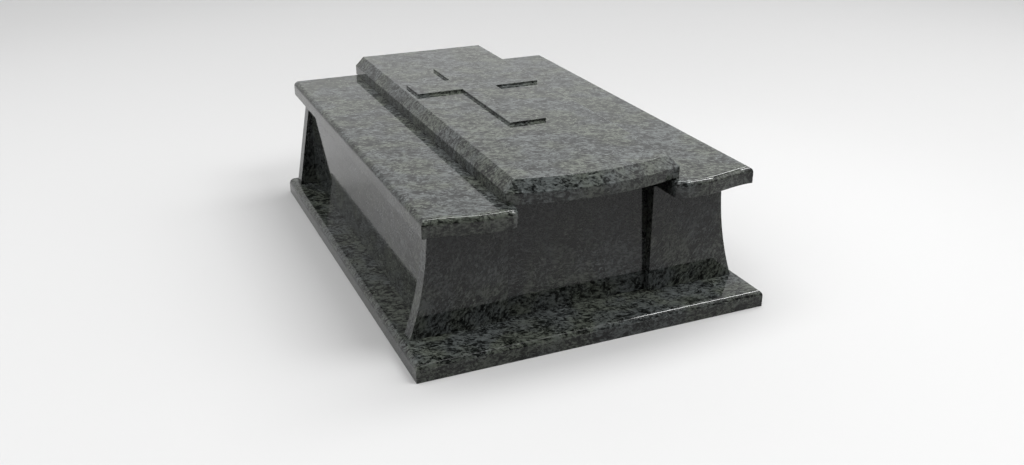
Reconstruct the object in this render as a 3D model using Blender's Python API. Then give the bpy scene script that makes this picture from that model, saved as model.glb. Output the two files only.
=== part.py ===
"""Low grave monument in polished granite: a base plate, a hollow box of legs, walls and panels,
two side slabs, and a raised cover slab that carries a Latin cross in relief.

Metres, +Z up. The origin is on the ground under the middle of the base plate. The front is at -Y,
+X is to the right of someone who faces it, and the square back is at +Y.
"""
import math

import bmesh
import bpy

# Base plate
BASE_WIDTH = 1.456
BASE_LENGTH = 2.000
BASE_HEIGHT = 0.070
BASE_ROUNDING = 0.025

# The hollow box between the base plate and the side slabs
BOX_HEIGHT = 0.445
BOX_SIDE_SETBACK = 0.036
BOX_FRONT_SETBACK = 0.178
BOX_BACK_SETBACK = 0.042

# Four corner legs, flat plates that widen towards the base plate: the front pair in a hollow
# sweep, the rear pair along a straight slope
LEG_THICKNESS = 0.062
LEG_OPENING = 0.606
LEG_FLARE = 0.080

# Panels between the legs; the front one leans back
PANEL_THICKNESS = 0.040
FRONT_PANEL_RECESS = 0.024
FRONT_PANEL_LEAN = math.radians(2.9)
REAR_PANEL_RECESS = 0.010

# Long walls, flush with the waist of the legs
WALL_THICKNESS = 0.040

# Side slabs, whose front edge swells forward and ends in a rounded inner corner
SLAB_THICKNESS = 0.065
SLAB_SIDE_OVERHANG = 0.057
SLAB_FRONT_OVERHANG = 0.117
SLAB_BACK_OVERHANG = 0.006
SLAB_SETBACK = 0.010
SLAB_ROUNDING = 0.022
SLAB_ROUNDING_FADE = 0.050
SLAB_CORNER_RADIUS = 0.044
SLAB_BULGE = 0.038
SLAB_BULGE_RUN = 0.240
SLAB_BULGE_END = 0.014

# Cover slab, with a bowed front and a chamfer on its sides and front
COVER_BEARING = 0.037
COVER_THICKNESS = 0.083
COVER_CHAMFER = 0.040
COVER_BOW = 0.057
COVER_FRONT_OVERHANG = 0.152
COVER_BACK_OVERHANG = 0.023

# Latin cross, carved with the cover slab
CROSS_RELIEF = 0.011
CROSS_BAR = 0.159
CROSS_SPAN = 0.574
CROSS_LENGTH = 0.914
CROSS_HEAD = 0.223
CROSS_BACK_MARGIN = 0.397
CROSS_ROOT = 0.010

# Dry joint left between pieces that touch
JOINT = 0.0003

# Steps along curved outlines
EDGE_STEPS = 5
CORNER_STEPS = 8
CURVE_STEPS = 14

# Edges that turn more than this are arrises and stay sharp when shaded
CRISP_ANGLE = math.radians(30)

# Widths, heights and planes worked out from the sizes above. The feet of the legs stand back
# from the sides of the base plate, and the cover slab bears on the inner rims of the side slabs.
WAIST_WIDTH = BASE_WIDTH - 2.0 * (BOX_SIDE_SETBACK + LEG_FLARE)
SLAB_GAP = LEG_OPENING + 2.0 * SLAB_SETBACK
COVER_WIDTH = SLAB_GAP + 2.0 * COVER_BEARING
BOX_FOOT = BASE_HEIGHT + JOINT
BOX_TOP = BOX_FOOT + BOX_HEIGHT
SLAB_FOOT = BOX_TOP + JOINT
SLAB_TOP = SLAB_FOOT + SLAB_THICKNESS
COVER_FOOT = SLAB_TOP + JOINT
FRONT_PLANE = -BASE_LENGTH / 2 + BOX_FRONT_SETBACK
BACK_PLANE = BASE_LENGTH / 2 - BOX_BACK_SETBACK
SLAB_BACK = BACK_PLANE + SLAB_BACK_OVERHANG
COVER_BACK = BACK_PLANE + COVER_BACK_OVERHANG


def clear_objects():
    for obj in list(bpy.data.objects):
        bpy.data.objects.remove(obj, do_unlink=True)


def granite(name, colour, roughness):
    """Polished stone of one plain colour."""
    material = bpy.data.materials.new(name)
    material.use_nodes = True
    shader = material.node_tree.nodes["Principled BSDF"]
    shader.inputs["Base Color"].default_value = (*colour, 1.0)
    shader.inputs["Roughness"].default_value = roughness
    shader.inputs["Metallic"].default_value = 0.0
    return material


def shade(mesh):
    """Smooth shading on curved faces, with crisp arrises."""
    mesh.shade_smooth()
    mesh.set_sharp_from_angle(angle=CRISP_ANGLE)


def make_object(name, bm, material, location=(0.0, 0.0, 0.0)):
    """Turn a bmesh into a named object."""
    bmesh.ops.recalc_face_normals(bm, faces=bm.faces)
    mesh = bpy.data.meshes.new(name)
    bm.to_mesh(mesh)
    bm.free()
    mesh.materials.append(material)
    shade(mesh)
    obj = bpy.data.objects.new(name, mesh)
    obj.location = location
    bpy.context.collection.objects.link(obj)
    return obj


def loft(rings):
    """Closed solid through a stack of rings that all have the same number of points."""
    bm = bmesh.new()
    loops = [[bm.verts.new(point) for point in ring] for ring in rings]
    bm.faces.new(list(reversed(loops[0])))
    bm.faces.new(loops[-1])
    count = len(loops[0])
    for lower, upper in zip(loops, loops[1:]):
        for i in range(count):
            j = (i + 1) % count
            bm.faces.new((lower[i], lower[j], upper[j], upper[i]))
    return bm


def box(size_x, size_y, size_z):
    """Box that stands on z = 0, centred in x and y."""
    x, y = size_x / 2, size_y / 2
    plan = [(-x, -y), (x, -y), (x, y), (-x, y)]
    return loft([[(px, py, z) for px, py in plan] for z in (0.0, size_z)])


def arc(centre, radius, start, end, steps):
    """Points of an arc in a plane, from the start angle to the end angle."""
    points = []
    for i in range(steps + 1):
        angle = start + (end - start) * i / steps
        points.append((centre[0] + radius * math.cos(angle), centre[1] + radius * math.sin(angle)))
    return points


def smooth_step(t):
    t = min(max(t, 0.0), 1.0)
    return t * t * (3.0 - 2.0 * t)


def make_base_plate(material):
    """Ground plate with its upper side and front edges rounded and its back left square."""
    bm = box(BASE_WIDTH, BASE_LENGTH, BASE_HEIGHT)
    rounded = []
    for edge in bm.edges:
        a, b = (vert.co for vert in edge.verts)
        on_top = min(a.z, b.z) > BASE_HEIGHT / 2
        at_back = min(a.y, b.y) > 0.0
        if on_top and not at_back:
            rounded.append(edge)
    bmesh.ops.bevel(bm, geom=rounded, offset=BASE_ROUNDING, segments=EDGE_STEPS, profile=0.5,
                    affect="EDGES", clamp_overlap=False)
    return make_object("base_plate", bm, material)


def hollow_sweep():
    """Outer edge of a right-hand front leg, from its foot up to its waist."""
    waist = WAIST_WIDTH / 2
    radius = (LEG_FLARE ** 2 + BOX_HEIGHT ** 2) / (2.0 * LEG_FLARE)
    sweep = math.asin(BOX_HEIGHT / radius)
    return arc((waist + radius, BOX_HEIGHT), radius, math.pi + sweep, math.pi, CURVE_STEPS)


def straight_slope():
    """Outer edge of a right-hand rear leg, from its foot up to its waist."""
    waist = WAIST_WIDTH / 2
    return [(waist + LEG_FLARE, 0.0), (waist, BOX_HEIGHT)]


def make_leg(name, side, outer_edge, middle_y, material):
    """Upright plate with a vertical inner edge."""
    half = LEG_THICKNESS / 2
    inner = LEG_OPENING / 2
    outline = [(inner, 0.0)] + outer_edge + [(inner, BOX_HEIGHT)]
    rings = [[(side * x, y, z) for x, z in outline] for y in (-half, half)]
    return make_object(name, loft(rings), material, (0.0, middle_y, BOX_FOOT))


def make_front_panel(material):
    """Leaning panel between the front legs, up to the cover slab."""
    half = LEG_OPENING / 2 - JOINT
    height = SLAB_TOP - BOX_FOOT
    drift = height * math.tan(FRONT_PANEL_LEAN)
    section = [(0.0, 0.0), (PANEL_THICKNESS, 0.0), (PANEL_THICKNESS + drift, height), (drift, height)]
    rings = [[(x, y, z) for y, z in section] for x in (-half, half)]
    place = (0.0, FRONT_PLANE + FRONT_PANEL_RECESS, BOX_FOOT)
    return make_object("front_panel", loft(rings), material, place)


def make_rear_panel(material):
    """Plain upright panel between the rear legs, up to the cover slab."""
    width = LEG_OPENING - 2.0 * JOINT
    bm = box(width, PANEL_THICKNESS, SLAB_TOP - BOX_FOOT)
    place = (0.0, BACK_PLANE - REAR_PANEL_RECESS - PANEL_THICKNESS / 2, BOX_FOOT)
    return make_object("rear_panel", bm, material, place)


def make_side_wall(name, side, material):
    """Long wall between the front and rear legs."""
    front = FRONT_PLANE + LEG_THICKNESS + JOINT
    back = BACK_PLANE - LEG_THICKNESS - JOINT
    bm = box(WALL_THICKNESS, back - front, BOX_HEIGHT)
    place = (side * (WAIST_WIDTH - WALL_THICKNESS) / 2, (front + back) / 2, BOX_FOOT)
    return make_object(name, bm, material, place)


def slab_ring(inset):
    """Plan of a right-hand side slab at one level, from its back inner corner round the front.

    The inset draws in the outer, front and inner corner edges for the rounded arris, which runs
    out a little way along the straight inner face.
    """
    inner = SLAB_GAP / 2
    outer = WAIST_WIDTH / 2 + SLAB_SIDE_OVERHANG
    front = FRONT_PLANE - SLAB_FRONT_OVERHANG
    corner = (inner + SLAB_CORNER_RADIUS, front - SLAB_BULGE + SLAB_CORNER_RADIUS)

    plan = [(inner, SLAB_BACK), (inner, corner[1] + SLAB_ROUNDING_FADE)]
    plan += arc(corner, SLAB_CORNER_RADIUS - inset, math.pi, 1.5 * math.pi, CORNER_STEPS)
    curve_start = outer - SLAB_BULGE_END - SLAB_BULGE_RUN
    for i in range(CURVE_STEPS + 1):
        share = i / CURVE_STEPS
        x = curve_start + SLAB_BULGE_RUN * share - inset * share
        plan.append((x, front - SLAB_BULGE * smooth_step(1.0 - share) + inset))
    plan.append((outer - inset, front + inset))
    plan.append((outer - inset, SLAB_BACK))
    return plan


def slab_levels():
    """Height and inset of each ring of a side slab, from its underside up."""
    shoulder = SLAB_THICKNESS - SLAB_ROUNDING
    levels = [(0.0, 0.0)]
    for i in range(EDGE_STEPS + 1):
        angle = 0.5 * math.pi * i / EDGE_STEPS
        levels.append((shoulder + SLAB_ROUNDING * math.sin(angle), SLAB_ROUNDING * (1.0 - math.cos(angle))))
    return levels


def make_side_slab(name, side, material):
    """Ledge slab over one long wall."""
    rings = [[(side * x, y, z) for x, y in slab_ring(inset)] for z, inset in slab_levels()]
    return make_object(name, loft(rings), material, (0.0, 0.0, SLAB_FOOT))


def cover_ring(inset):
    """Plan of the cover slab, drawn in by the inset at its sides and its bowed front."""
    half = COVER_WIDTH / 2
    apex = FRONT_PLANE - COVER_FRONT_OVERHANG
    radius = (half ** 2 + COVER_BOW ** 2) / (2.0 * COVER_BOW)
    centre_y = apex + radius
    radius -= inset
    half -= inset
    sweep = math.asin(half / radius)
    middle = 1.5 * math.pi
    front = arc((0.0, centre_y), radius, middle - sweep, middle + sweep, 2 * CURVE_STEPS)
    return front + [(half, COVER_BACK), (-half, COVER_BACK)]


def cross_plan():
    """Twelve corners of the Latin cross, its head towards the back."""
    bar = CROSS_BAR / 2
    arm = CROSS_SPAN / 2
    head = COVER_BACK - CROSS_BACK_MARGIN
    foot = head - CROSS_LENGTH
    arm_back = head - CROSS_HEAD
    arm_front = arm_back - CROSS_BAR
    right = [(bar, foot), (bar, arm_front), (arm, arm_front), (arm, arm_back), (bar, arm_back), (bar, head)]
    return right + [(-x, y) for x, y in reversed(right)]


def make_cross_form(material):
    """Prism of the cross, which the cover slab takes in as one stone."""
    levels = (COVER_THICKNESS - CROSS_ROOT, COVER_THICKNESS + CROSS_RELIEF)
    bm = loft([[(x, y, z) for x, y in cross_plan()] for z in levels])
    form = make_object("cross_form", bm, material, (0.0, 0.0, COVER_FOOT))
    form.hide_render = True
    form.display_type = "WIRE"
    return form


def make_cover_slab(material):
    """Raised slab with the relief cross, cut from one stone."""
    band = COVER_THICKNESS - COVER_CHAMFER
    levels = ((0.0, 0.0), (band, 0.0), (COVER_THICKNESS, COVER_CHAMFER))
    bm = loft([[(x, y, z) for x, y in cover_ring(inset)] for z, inset in levels])
    cover = make_object("cover_slab", bm, material, (0.0, 0.0, COVER_FOOT))
    union = cover.modifiers.new("cross", "BOOLEAN")
    union.operation = "UNION"
    union.solver = "EXACT"
    union.object = make_cross_form(material)
    stone = cover.evaluated_get(bpy.context.evaluated_depsgraph_get())
    cover.data = bpy.data.meshes.new_from_object(stone)
    cover.modifiers.clear()
    shade(cover.data)
    return cover


def build():
    clear_objects()
    stone = granite("polished granite", (0.080, 0.090, 0.085), 0.12)
    front_leg_y = FRONT_PLANE + LEG_THICKNESS / 2
    rear_leg_y = BACK_PLANE - LEG_THICKNESS / 2
    make_base_plate(stone)
    for hand, side in (("left", -1.0), ("right", 1.0)):
        make_leg("front_leg_" + hand, side, hollow_sweep(), front_leg_y, stone)
        make_leg("rear_leg_" + hand, side, straight_slope(), rear_leg_y, stone)
        make_side_wall("side_wall_" + hand, side, stone)
        make_side_slab("side_slab_" + hand, side, stone)
    make_front_panel(stone)
    make_rear_panel(stone)
    make_cover_slab(stone)


build()
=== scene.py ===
# %% [markdown]
# # A low grave monument in polished granite
# The real thing is twelve sawn and polished stones: a ground plate, four legs, two walls and two
# panels that make a hollow box, two ledge slabs on top, and a raised cover slab with a Latin cross.
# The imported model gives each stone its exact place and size. This lesson builds finer versions of
# the stones around it, with the small eased edges that a mason always leaves, and gives them a
# granite that is made only of noise.

# %% Load the frame
import math

import bmesh
import bpy
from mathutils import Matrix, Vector


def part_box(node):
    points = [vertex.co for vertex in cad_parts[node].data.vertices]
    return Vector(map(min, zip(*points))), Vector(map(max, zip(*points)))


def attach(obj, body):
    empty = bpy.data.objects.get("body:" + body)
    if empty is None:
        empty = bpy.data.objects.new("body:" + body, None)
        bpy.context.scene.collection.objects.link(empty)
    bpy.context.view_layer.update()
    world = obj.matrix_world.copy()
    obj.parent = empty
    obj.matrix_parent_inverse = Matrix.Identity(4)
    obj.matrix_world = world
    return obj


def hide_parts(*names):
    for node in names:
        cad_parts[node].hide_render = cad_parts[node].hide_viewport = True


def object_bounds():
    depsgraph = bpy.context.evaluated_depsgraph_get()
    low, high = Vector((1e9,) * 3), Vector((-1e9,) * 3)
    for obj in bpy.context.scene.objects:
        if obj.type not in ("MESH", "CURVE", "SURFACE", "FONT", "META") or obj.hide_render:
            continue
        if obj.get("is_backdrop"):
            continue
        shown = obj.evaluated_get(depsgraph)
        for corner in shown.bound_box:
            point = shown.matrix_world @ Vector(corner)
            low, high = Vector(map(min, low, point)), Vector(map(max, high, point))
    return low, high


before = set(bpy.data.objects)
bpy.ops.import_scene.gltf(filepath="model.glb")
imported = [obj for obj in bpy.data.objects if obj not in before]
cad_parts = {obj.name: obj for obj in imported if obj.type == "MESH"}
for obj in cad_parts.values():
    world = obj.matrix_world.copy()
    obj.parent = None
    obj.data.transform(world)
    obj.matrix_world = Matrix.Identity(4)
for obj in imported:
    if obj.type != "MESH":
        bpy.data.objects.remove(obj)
cad_low, cad_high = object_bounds()
print("the monument measures", [round(side, 4) for side in cad_high - cad_low], "m")


# %% [markdown]
# ## The camera
# The photographer stood at eye height, to the left of the front, and looked down by 24 degrees.
# The place and the lens come from the perspective of the stones' edges. A camera in Blender looks
# along its own -Z, so the turn is asked for from the direction that -Z should take.

# %% Set up the camera
CAMERA_PLACE = (-1.6552, -3.9532, 1.9352)
CAMERA_HEADING = math.radians(23.607)
CAMERA_PITCH = math.radians(23.785)
LENS_PIXELS = 1029.9
IMAGE_WIDTH = 1024
SENSOR_WIDTH = 36.0


def make_camera():
    """Camera at the photographer's place, with depth of field left off."""
    ahead = Vector((math.sin(CAMERA_HEADING) * math.cos(CAMERA_PITCH),
                    math.cos(CAMERA_HEADING) * math.cos(CAMERA_PITCH),
                    -math.sin(CAMERA_PITCH)))
    data = bpy.data.cameras.new("photographer")
    data.sensor_width = SENSOR_WIDTH
    data.lens = LENS_PIXELS * SENSOR_WIDTH / IMAGE_WIDTH
    camera = bpy.data.objects.new("photographer", data)
    camera.location = CAMERA_PLACE
    camera.rotation_euler = ahead.to_track_quat("-Z", "Y").to_euler()
    bpy.context.scene.collection.objects.link(camera)
    bpy.context.scene.camera = camera
    return camera


camera = make_camera()
print("lens", round(camera.data.lens, 2), "mm")


# %% [markdown]
# ## Writing shaders as sums
# A material is a graph of nodes, and long graphs are hard to read in code. Two small classes help.
# `Graph` adds a node with its settings and its values in one call. `Wire` stands for one output
# socket, and its operators add Math nodes, so that a mask can be written as `0.2 + light * 0.5`.

# %% Wrap a socket
class Wire:
    """One output socket of a graph. Arithmetic on it adds Math nodes."""

    def __init__(self, graph, socket):
        self.graph = graph
        self.socket = socket

    def _math(self, operation, first, second):
        return self.graph.add("ShaderNodeMath", {"operation": operation}, {0: first, 1: second})

    def __add__(self, other):
        return self._math("ADD", self, other)

    def __radd__(self, other):
        return self._math("ADD", other, self)

    def __mul__(self, other):
        return self._math("MULTIPLY", self, other)

    def __rmul__(self, other):
        return self._math("MULTIPLY", other, self)


print("sockets can be added and multiplied")


# %% Write a graph
class Graph:
    """The node tree of a material or of the world."""

    def __init__(self, owner):
        owner.use_nodes = True
        self.tree = owner.node_tree

    def named(self, name):
        """A node that Blender put there itself."""
        return self.tree.nodes[name]

    def feed(self, node, values):
        """Set or link the inputs of a node."""
        for key, value in values.items():
            if isinstance(value, Wire):
                self.tree.links.new(value.socket, node.inputs[key])
            else:
                node.inputs[key].default_value = value

    def add(self, kind, settings=None, values=None, output=0):
        """Add a node, with its settings first, and return one of its outputs."""
        node = self.tree.nodes.new(kind)
        for key, value in (settings or {}).items():
            setattr(node, key, value)
        self.feed(node, values or {})
        return Wire(self, node.outputs[output])

    def noise(self, vector, scale, detail, roughness=0.5, distortion=0.0, output="Fac"):
        """Layered noise around 0.5, read at a place."""
        return self.add("ShaderNodeTexNoise", {"noise_dimensions": "3D"},
                        {"Vector": vector, "Scale": scale, "Detail": detail, "Roughness": roughness,
                         "Distortion": distortion}, output)

    def fade(self, value, start, end, low=0.0, high=1.0):
        """Smooth step of a value from one level to another."""
        return self.add("ShaderNodeMapRange", {"interpolation_type": "SMOOTHSTEP"},
                        {"Value": value, "From Min": start, "From Max": end, "To Min": low,
                         "To Max": high})

    def mix(self, share, first, second, blend="MIX"):
        """Blend of two colours."""
        return self.add("ShaderNodeMix", {"data_type": "RGBA", "blend_type": blend},
                        {0: share, 6: first, 7: second}, 2)

    def vector(self, operation, first, second, output="Vector"):
        """Arithmetic on two vectors. Some of it gives a number, at the output "Value"."""
        return self.add("ShaderNodeVectorMath", {"operation": operation}, {0: first, 1: second},
                        output)


print("a graph can add, feed, mix and fade its nodes")


# %% [markdown]
# ## The studio
# The monument stands on a pale floor that has no visible end. Its grey is painted light: darker
# under the soft boxes and paler far from them, so that their light seems to spread more evenly.
# The sky is soft, brightest behind the monument and dim overhead. Two pale glows in it lift the
# left side and the right end of the bow.
#
# Five soft boxes hang above. The top box lights the floor and the tops, and the front box lights
# the fronts. Neither shows in the polish. The other three show only there: the long box draws the
# thin bright line along the rounded fronts of the ledge slabs, and the edge box and the faint box
# draw the bright part and the faint part of the line along the base plate's front edge.

# %% Build the floor
FLOOR_REACH = 60.0
FLOOR_HEART = (1.3, 0.1, 0.0)
FLOOR_RING = (1.2, 5.8)
# Painted light: the floor's grey is darker near FLOOR_HEART, under the soft boxes, and paler far
# from it.
PAINTED_FLOOR_NEAR = (0.60, 0.60, 0.60, 1.0)
PAINTED_FLOOR_FAR = (0.81, 0.81, 0.81, 1.0)


def make_floor():
    """A wide matt floor with painted light: paler away from FLOOR_HEART, where less light falls.
    It shows to the camera and in the polish, but throws no light up at matt surfaces."""
    bm = bmesh.new()
    bmesh.ops.create_grid(bm, x_segments=1, y_segments=1, size=FLOOR_REACH)
    mesh = bpy.data.meshes.new("studio_floor")
    bm.to_mesh(mesh)
    bm.free()
    floor = bpy.data.objects.new("studio_floor", mesh)
    bpy.context.scene.collection.objects.link(floor)
    floor.visible_diffuse = False
    matt = bpy.data.materials.new("matt_floor")
    graph = Graph(matt)
    place = graph.add("ShaderNodeTexCoord", output="Object")
    distance = graph.vector("DISTANCE", place, FLOOR_HEART, "Value")
    # Painted light: the grey fades from the near tone to the far tone with distance from
    # FLOOR_HEART.
    painted_light_tone = graph.mix(graph.fade(distance, *FLOOR_RING), PAINTED_FLOOR_NEAR, PAINTED_FLOOR_FAR)
    graph.feed(graph.named("Principled BSDF"),
               {"Base Color": painted_light_tone, "Roughness": 1.0, "Specular IOR Level": 0.0})
    mesh.materials.append(matt)
    floor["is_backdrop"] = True


make_floor()
print("floor reaches", FLOOR_REACH, "m each way")

# %% Make the sky
SKY_LEVEL = 0.42
SKY_RISE_RIGHT = 0.12
SKY_RISE_BACK = 0.38
OVERHEAD_FADE = (0.45, 0.75)
OVERHEAD_SHARE = 0.35
HORIZON_FADE = (-0.02, 0.02)
GLOW_CORE = 0.98
# Each glow: its direction, its level, and the closeness (a cosine) at which it starts.
GLOWS = (((-0.62, -0.15, 0.770), 1.8, 0.80),
         ((0.75, -0.36, 0.555), 1.6, 0.90))


def make_sky():
    """A soft sky, brighter behind and to the right, dimmer overhead, black below the horizon."""
    world = bpy.data.worlds.new("studio_sky")
    bpy.context.scene.world = world
    graph = Graph(world)
    direction = graph.add("ShaderNodeTexCoord", output="Generated")
    parts = graph.add("ShaderNodeSeparateXYZ", values={"Vector": direction}).socket.node
    across, along, up = (Wire(graph, parts.outputs[axis]) for axis in "XYZ")
    sky = SKY_LEVEL + across * SKY_RISE_RIGHT + along * SKY_RISE_BACK
    sky = sky * graph.fade(up, *OVERHEAD_FADE, low=1.0, high=OVERHEAD_SHARE)
    for towards, level, reach in GLOWS:
        nearness = graph.vector("DOT_PRODUCT", direction, towards, "Value")
        sky = sky + level * graph.fade(nearness, reach, GLOW_CORE)
    above = graph.fade(up, *HORIZON_FADE)
    graph.feed(graph.named("Background"), {"Color": (1.0, 1.0, 1.0, 1.0), "Strength": sky * above})


make_sky()
print("the sky has", len(GLOWS), "glows")

# %% Hang the soft boxes
# Each lamp: name, place, size, turn about X and Y in degrees, watts, whether it lights matt
# surfaces, and whether it shows in the polish.
LAMPS = (("top_box", (1.0, 0.55, 5.0), (7.6, 1.6), (-6, 11), 207.0, True, False),
         ("long_box", (1.2, 1.2, 5.0), (6.6, 1.1), (-13, 13), 200.0, False, True),
         ("edge_box", (3.2, -1.45, 4.45), (1.4, 0.7), (6, 32), 85.0, False, True),
         ("faint_box", (1.6, -1.95, 5.0), (2.2, 0.7), (10, 15), 13.0, False, True),
         ("front_box", (1.5, -2.5, 4.6), (2.4, 1.6), (30, 18), 125.0, True, False))


def make_lamp(name, place, size, turn, watts, lights_matt, shows_in_polish):
    """A rectangular soft box that hangs above the monument and faces it."""
    data = bpy.data.lights.new(name, "AREA")
    data.shape = "RECTANGLE"
    data.size, data.size_y = size
    data.energy = watts
    lamp = bpy.data.objects.new(name, data)
    lamp.location = place
    lamp.visible_diffuse = lights_matt
    lamp.visible_glossy = shows_in_polish
    lamp.rotation_euler = (math.radians(turn[0]), math.radians(turn[1]), 0.0)
    bpy.context.scene.collection.objects.link(lamp)


for lamp in LAMPS:
    make_lamp(*lamp)
bpy.context.scene.view_settings.view_transform = "Standard"
print("the studio has", len(LAMPS), "soft boxes")


# %% [markdown]
# ## The granite
# Dark green-grey granite has several scales of pattern. Crystals of a few millimetres take the
# polish a little differently. Pale feldspar flakes lie in wavy streaks of one to two centimetres,
# with dark mica between them. Clots of a few centimetres and veins as wide as a hand make the
# streaks denser or thinner, and whole areas drift between bluish and yellowish green. All of it
# runs through the block, so the pattern is solid: it is read at the point's own place, and a saw
# cut shows the same grain on both sides of an edge. Each stone is cut from another place in the
# block, so each gets its own shift, turn and tip.

# %% Choose the colours and scales of the granite
DARK_STONE = (0.0030, 0.0036, 0.0033, 1.0)
MIDDLE_STONE = (0.098, 0.106, 0.100, 1.0)
PALE_FLAKE = (0.25, 0.262, 0.254, 1.0)
BLUE_DRIFT = (0.965, 0.985, 1.03, 1.0)
GREEN_DRIFT = (1.01, 1.035, 0.92, 1.0)
BLOCK_LEAN = 0.12
NOISE_MIDDLE = (0.5, 0.5, 0.5)
SWIRL_SCALE = 9.0
SWIRL_REACH = (0.06, 0.06, 0.03)
RIPPLE_SCALE = 34.0
RIPPLE_REACH = (0.02, 0.02, 0.02)
FLAKE_STRETCH = (0.5, 1.0, 1.0)
VEIN_SCALE = 13.0
FLAKE_SCALE = 104.0
CLOT_SCALE = 24.0
CRYSTAL_SCALE = 240.0
PATCH_SCALE = 5.5
FLAKE_SHARE = 0.62
CLOT_SHARE = 0.22
VEIN_SHARE = 0.14
GLINT_SHARE = 0.02
BODY_RANGE = (0.43, 0.57)
PALE_RANGE = (0.58, 0.80)
PATCH_RANGE = (0.40, 0.60)
POLISH = 0.035
POLISH_SPREAD = 0.03
RELIEF_STRENGTH = 0.02
RELIEF_DEPTH = 0.0003
STONE_IOR = 1.40
print("flakes of", round(1000.0 / FLAKE_SCALE), "mm")
print("crystals of", round(1000.0 / CRYSTAL_SCALE), "mm")


# %% Mix the granite
def polished_granite(name, shift, turn, tip):
    """Granite whose grain starts at a shift in the block, turned about the vertical and tipped."""
    stone = bpy.data.materials.new(name)
    graph = Graph(stone)
    place = graph.add("ShaderNodeTexCoord", output="Object")
    block = graph.add("ShaderNodeMapping", {},
                      {"Vector": place, "Location": shift,
                       "Rotation": (BLOCK_LEAN, math.radians(tip), math.radians(turn))})

    swirl = graph.noise(block, SWIRL_SCALE, detail=2.0, output="Color")
    drift = graph.vector("MULTIPLY", graph.vector("SUBTRACT", swirl, NOISE_MIDDLE), SWIRL_REACH)
    flow = graph.vector("ADD", block, drift)
    ripple = graph.noise(flow, RIPPLE_SCALE, detail=2.0, output="Color")
    waves = graph.vector("MULTIPLY", graph.vector("SUBTRACT", ripple, NOISE_MIDDLE), RIPPLE_REACH)
    streaks = graph.vector("MULTIPLY", graph.vector("ADD", flow, waves), FLAKE_STRETCH)

    flakes = graph.noise(streaks, FLAKE_SCALE, detail=6.0, roughness=0.71, distortion=0.3)
    veins = graph.noise(streaks, VEIN_SCALE, detail=3.0, roughness=0.55, distortion=1.4)
    clots = graph.noise(flow, CLOT_SCALE, detail=3.0, roughness=0.6)
    crystals = graph.add("ShaderNodeTexVoronoi", {"feature": "F1"},
                         {"Vector": flow, "Scale": CRYSTAL_SCALE}, "Color")
    glint = graph.add("ShaderNodeSeparateColor", values={"Color": crystals}, output="Red")

    blend = flakes * FLAKE_SHARE + clots * CLOT_SHARE + veins * VEIN_SHARE + glint * GLINT_SHARE
    body = graph.fade(blend, *BODY_RANGE)
    colour = graph.mix(body, DARK_STONE, MIDDLE_STONE)
    colour = graph.mix(graph.fade(flakes, *PALE_RANGE), colour, PALE_FLAKE)
    patches = graph.noise(block, PATCH_SCALE, detail=2.0, roughness=0.55)
    tint = graph.mix(graph.fade(patches, *PATCH_RANGE), BLUE_DRIFT, GREEN_DRIFT)
    colour = graph.mix(1.0, colour, tint, "MULTIPLY")

    relief = graph.add("ShaderNodeBump", {},
                       {"Strength": RELIEF_STRENGTH, "Distance": RELIEF_DEPTH, "Height": glint},
                       "Normal")
    graph.feed(graph.named("Principled BSDF"),
               {"Base Color": colour, "Roughness": POLISH + glint * POLISH_SPREAD, "Normal": relief,
                "IOR": STONE_IOR})
    return stone


# %% [markdown]
# ## Shaping a stone
# Every stone here starts as a stack of matching outlines, joined into one closed skin. They lie
# level in the slabs and stand upright in the legs and the front panel. That is how a mason thinks
# of them too: an outline, then a thickness. A sharp polished edge would chip, so it is eased by
# about a millimetre. A Bevel modifier does this on every edge that turns by more than 30 degrees,
# and a Weighted Normal modifier keeps the big flat faces flat for the mirror polish.

# %% Loft the outlines
def loft(rings):
    """Closed skin through a stack of rings that have the same number of points."""
    bm = bmesh.new()
    loops = [[bm.verts.new(point) for point in ring] for ring in rings]
    bm.faces.new(list(reversed(loops[0])))
    bm.faces.new(loops[-1])
    count = len(loops[0])
    for lower, upper in zip(loops, loops[1:]):
        for i in range(count):
            j = (i + 1) % count
            bm.faces.new((lower[i], lower[j], upper[j], upper[i]))
    bmesh.ops.recalc_face_normals(bm, faces=bm.faces)
    return bm


def arc(centre, radius, start, end, steps):
    """Points of an arc in a plane."""
    turns = [start + (end - start) * i / steps for i in range(steps + 1)]
    return [(centre[0] + radius * math.cos(turn), centre[1] + radius * math.sin(turn))
            for turn in turns]


def new_mesh_object(name, bm):
    """Object in the scene from a finished BMesh."""
    mesh = bpy.data.meshes.new(name)
    bm.to_mesh(mesh)
    bm.free()
    thing = bpy.data.objects.new(name, mesh)
    bpy.context.scene.collection.objects.link(thing)
    return thing


# %% Finish a stone
ARRIS = 0.0012
CRISP_ANGLE = math.radians(30)
stones = []


def finish_stone(stone, node, shift, turn, tip=-5):
    """Ease the arrises, dress the stone in granite and let it stand for its CAD node."""
    stone.data.shade_smooth()
    stone.data.set_sharp_from_angle(angle=CRISP_ANGLE)
    eased = stone.modifiers.new("eased arrises", "BEVEL")
    eased.width = ARRIS
    eased.segments = 2
    eased.limit_method = "ANGLE"
    eased.angle_limit = CRISP_ANGLE
    eased.use_clamp_overlap = False
    flat = stone.modifiers.new("flat faces", "WEIGHTED_NORMAL")
    flat.keep_sharp = True
    stone.data.materials.clear()
    stone.data.materials.append(polished_granite("granite_" + node, shift, turn, tip))
    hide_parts(node)
    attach(stone, "root")
    stones.append(stone)
    low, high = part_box(node)
    print(stone.name, "stands for", node, [round(side, 4) for side in high - low])


# %% [markdown]
# ## The base plate
# One stone lies on the ground and carries the rest. Its upper edge is rounded at the front and at
# both sides, and left square at the back. It is a plain block with those three edges bevelled in
# many small steps, so that the long thin highlight on the rounding stays smooth.

# %% Make the base plate
BASE_ROUNDING = 0.025
ROUNDING_STEPS = 12


def block_between(low, high):
    """Plain block between two corners."""
    plan = [(low.x, low.y), (high.x, low.y), (high.x, high.y), (low.x, high.y)]
    return loft([[(x, y, z) for x, y in plan] for z in (low.z, high.z)])


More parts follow.
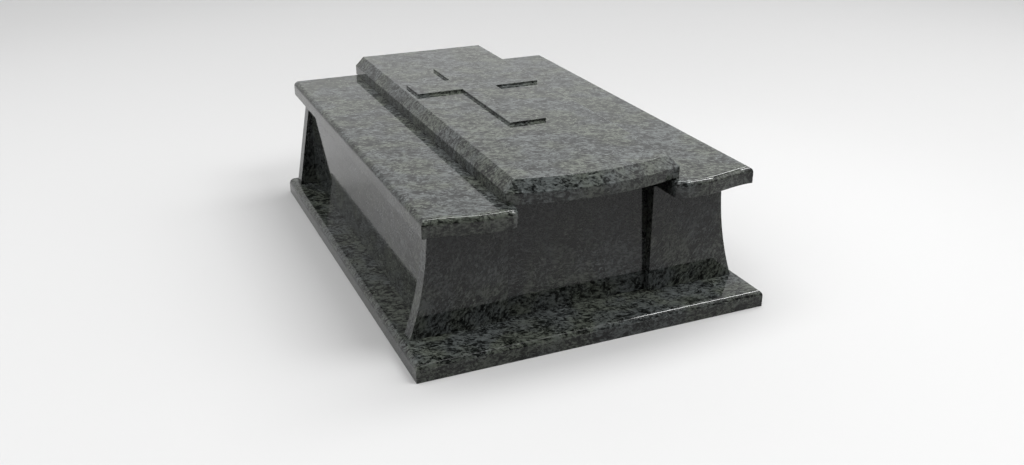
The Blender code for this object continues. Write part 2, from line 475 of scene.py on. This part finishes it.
def make_base_plate():
    """Block whose upper edges are rounded at the front and at both sides."""
    low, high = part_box("base_plate")
    bm = block_between(low, high)
    middle = (low + high) / 2
    rounded = []
    for edge in bm.edges:
        a, b = (vert.co for vert in edge.verts)
        if min(a.z, b.z) > middle.z and min(a.y, b.y) < middle.y:
            rounded.append(edge)
    bmesh.ops.bevel(bm, geom=rounded, offset=BASE_ROUNDING, segments=ROUNDING_STEPS, profile=0.5,
                    affect="EDGES", clamp_overlap=False)
    return new_mesh_object("polished_base_plate", bm)


finish_stone(make_base_plate(), "base_plate", shift=(0.3, 1.1, 0.2), turn=22)


# %% [markdown]
# ## The legs
# Four flat plates stand at the corners. The front pair sweep out to the base plate in a hollow
# curve that is upright at its top, and the rear pair have a plain slope. Each is one outline in the
# plane of the plate, pushed through the plate's thickness. The curve is an arc that meets the top
# upright, so its radius follows from the height of the leg and from how far the foot reaches out.

# %% Make the legs
LEG_FLARE = 0.080
SWEEP_STEPS = 48
LEG_TURN = 10
# Each leg: its node, its side, whether its edge is hollow, and its shift and tip in the block.
LEGS = (("front_leg_left", -1, True, (2.1, 0.4, 0.7), 60),
        ("front_leg_right", 1, True, (3.3, 1.4, 0.1), 55),
        ("rear_leg_left", -1, False, (4.2, 2.4, 0.9), 85),
        ("rear_leg_right", 1, False, (5.7, 0.9, 0.3), 70))


def leg_edge(foot, foot_z, top_z, hollow):
    """Outer edge of a right-hand leg, from its foot to its waist."""
    waist = foot - LEG_FLARE
    height = top_z - foot_z
    if not hollow:
        return [(foot, foot_z), (waist, top_z)]
    radius = (LEG_FLARE ** 2 + height ** 2) / (2.0 * LEG_FLARE)
    sweep = math.asin(height / radius)
    return arc((waist + radius, top_z), radius, math.pi + sweep, math.pi, SWEEP_STEPS)


def make_leg(node, side, hollow):
    """One leg's outline, pushed through the plate's thickness."""
    low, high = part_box(node)
    inner = min(abs(low.x), abs(high.x))
    foot = max(abs(low.x), abs(high.x))
    edge = leg_edge(foot, low.z, high.z, hollow)
    outline = [(inner, low.z)] + edge + [(inner, high.z)]
    rings = [[(side * x, y, z) for x, z in outline] for y in (low.y, high.y)]
    return new_mesh_object("polished_" + node, loft(rings))


for node, side, hollow, shift, tip in LEGS:
    finish_stone(make_leg(node, side, hollow), node, shift, LEG_TURN, tip)


# %% [markdown]
# ## The walls and panels
# Plain polished slabs close the box between the legs. The long walls and the rear panel are
# upright. The front panel leans back by three degrees. Its section is a leaning four-sided figure,
# pushed across the opening.

# %% Make the walls and panels
PANEL_THICKNESS = 0.040
# Each upright slab: its node, and its shift and turn in the block.
UPRIGHTS = (("side_wall_left", (6.4, 0.2, 1.3), 5),
            ("side_wall_right", (7.3, 1.9, 0.6), 12),
            ("rear_panel", (8.8, 0.5, 1.8), 30))


def make_upright(node):
    """Plain wall or panel."""
    return new_mesh_object("polished_" + node, block_between(*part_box(node)))


def make_front_panel():
    """Panel of an even thickness whose top stands further back than its foot."""
    low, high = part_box("front_panel")
    lean = high.y - low.y - PANEL_THICKNESS
    section = [(low.y, low.z), (low.y + PANEL_THICKNESS, low.z),
               (high.y, high.z), (low.y + lean, high.z)]
    rings = [[(x, y, z) for y, z in section] for x in (low.x, high.x)]
    return new_mesh_object("polished_front_panel", loft(rings))


for node, shift, turn in UPRIGHTS:
    finish_stone(make_upright(node), node, shift, turn)
finish_stone(make_front_panel(), "front_panel", shift=(9.1, 2.2, 0.4), turn=-15)


# %% [markdown]
# ## The side slabs
# A ledge slab lies over each long wall and stands proud of the legs at the front and the side. Its
# upper edge is rounded. In plan its front swells forward towards the cover slab and turns in with a
# rounded corner. The stack of outlines does both: the plan is the same at every level, and each
# level of the rounded edge draws it in a little further.

# %% Draw the outline of a side slab
SLAB_ROUNDING = 0.022
SLAB_ROUNDING_FADE = 0.050
SLAB_CORNER_RADIUS = 0.044
SLAB_BULGE = 0.038
SLAB_BULGE_RUN = 0.240
SLAB_BULGE_END = 0.014
CORNER_STEPS = 24
BULGE_STEPS = 40


def smooth_step(t):
    """Ease from 0 to 1 with level ends."""
    t = min(max(t, 0.0), 1.0)
    return t * t * (3.0 - 2.0 * t)


def slab_plan(inner, outer, front, back, inset):
    """Outline of a right-hand slab at one level, from its back inner corner round the front.
    Along the inner side, the rounding fades out over SLAB_ROUNDING_FADE behind the corner."""
    corner = (inner + SLAB_CORNER_RADIUS, front - SLAB_BULGE + SLAB_CORNER_RADIUS)
    plan = [(inner, back), (inner, corner[1] + SLAB_ROUNDING_FADE)]
    plan += arc(corner, SLAB_CORNER_RADIUS - inset, math.pi, 1.5 * math.pi, CORNER_STEPS)
    start = outer - SLAB_BULGE_END - SLAB_BULGE_RUN
    for i in range(BULGE_STEPS + 1):
        share = i / BULGE_STEPS
        swell = SLAB_BULGE * smooth_step(1.0 - share)
        plan.append((start + SLAB_BULGE_RUN * share - inset * share, front - swell + inset))
    return plan + [(outer - inset, front + inset), (outer - inset, back)]


print("the front of a side slab swells by", round(1000.0 * SLAB_BULGE), "mm")

# %% Make the side slabs
# Each side slab: its node, its side, and its shift and turn in the block.
SIDE_SLABS = (("side_slab_left", -1, (1.2, 3.1, 2.0), 24),
              ("side_slab_right", 1, (2.6, 4.0, 2.6), 30))


def slab_levels(thickness):
    """Height and inset of each outline, from the underside up."""
    shoulder = thickness - SLAB_ROUNDING
    levels = [(0.0, 0.0)]
    for i in range(ROUNDING_STEPS + 1):
        turn = 0.5 * math.pi * i / ROUNDING_STEPS
        levels.append((shoulder + SLAB_ROUNDING * math.sin(turn),
                       SLAB_ROUNDING * (1.0 - math.cos(turn))))
    return levels


def make_side_slab(node, side):
    """Stack of the slab's outlines, mirrored for the left-hand slab."""
    low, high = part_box(node)
    inner = min(abs(low.x), abs(high.x))
    outer = max(abs(low.x), abs(high.x))
    front = low.y + SLAB_BULGE
    rings = []
    for z, inset in slab_levels(high.z - low.z):
        plan = slab_plan(inner, outer, front, high.y, inset)
        rings.append([(side * x, y, low.z + z) for x, y in plan])
    return new_mesh_object("polished_" + node, loft(rings))


for node, side, shift, turn in SIDE_SLABS:
    finish_stone(make_side_slab(node, side), node, shift, turn)


# %% [markdown]
# ## The cover slab and its cross
# The raised slab has a bowed front and a four centimetre chamfer on its sides and front. The Latin
# cross stands eleven millimetres proud of it, cut from the same stone. A Boolean union makes them
# one skin, so the root of the cross gets the same small eased edge as the rest.

# %% Draw the cover slab and the cross in plan
COVER_BOW = 0.057
BOW_STEPS = 64
CROSS_BAR = 0.159
CROSS_SPAN = 0.574
CROSS_LENGTH = 0.914
CROSS_HEAD = 0.223
CROSS_BACK_MARGIN = 0.397


def cover_plan(half, front, back, inset):
    """Outline of the cover slab, drawn in at its sides and its bowed front."""
    radius = (half ** 2 + COVER_BOW ** 2) / (2.0 * COVER_BOW)
    centre = (0.0, front + radius)
    radius -= inset
    half -= inset
    sweep = math.asin(half / radius)
    bow = arc(centre, radius, 1.5 * math.pi - sweep, 1.5 * math.pi + sweep, BOW_STEPS)
    return bow + [(half, back), (-half, back)]


def cross_plan(back):
    """Twelve corners of the Latin cross, its head towards the back."""
    bar, arm = CROSS_BAR / 2, CROSS_SPAN / 2
    head = back - CROSS_BACK_MARGIN
    foot = head - CROSS_LENGTH
    arm_back = head - CROSS_HEAD
    arm_front = arm_back - CROSS_BAR
    right = [(bar, foot), (bar, arm_front), (arm, arm_front),
             (arm, arm_back), (bar, arm_back), (bar, head)]
    return right + [(-x, y) for x, y in reversed(right)]


print("the cross is", round(1000.0 * CROSS_SPAN), "mm by", round(1000.0 * CROSS_LENGTH), "mm")

# %% Make the cover slab
COVER_THICKNESS = 0.083
COVER_CHAMFER = 0.040
CROSS_ROOT = 0.010


def make_cover_slab():
    """Bowed and chamfered slab, with the cross joined to its top."""
    low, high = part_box("cover_slab")
    top = low.z + COVER_THICKNESS
    levels = ((low.z, 0.0), (top - COVER_CHAMFER, 0.0), (top, COVER_CHAMFER))
    rings = [[(x, y, z) for x, y in cover_plan(high.x, low.y, high.y, inset)]
             for z, inset in levels]
    cover = new_mesh_object("polished_cover_slab", loft(rings))
    cross_rings = [[(x, y, z) for x, y in cross_plan(high.y)] for z in (top - CROSS_ROOT, high.z)]
    cross = new_mesh_object("cross_form", loft(cross_rings))
    union = cover.modifiers.new("cross", "BOOLEAN")
    union.operation = "UNION"
    union.solver = "EXACT"
    union.object = cross
    joined = cover.evaluated_get(bpy.context.evaluated_depsgraph_get())
    cover.data = bpy.data.meshes.new_from_object(joined)
    cover.modifiers.clear()
    bpy.data.objects.remove(cross)
    return cover


finish_stone(make_cover_slab(), "cover_slab", shift=(0.9, 5.2, 3.1), turn=20)


# %% Write the sizes
shown_low, shown_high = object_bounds()
growth = (shown_high - shown_low) - (cad_high - cad_low)
print(len(stones), "stones, box differs by", [round(1000.0 * side, 3) for side in growth], "mm")
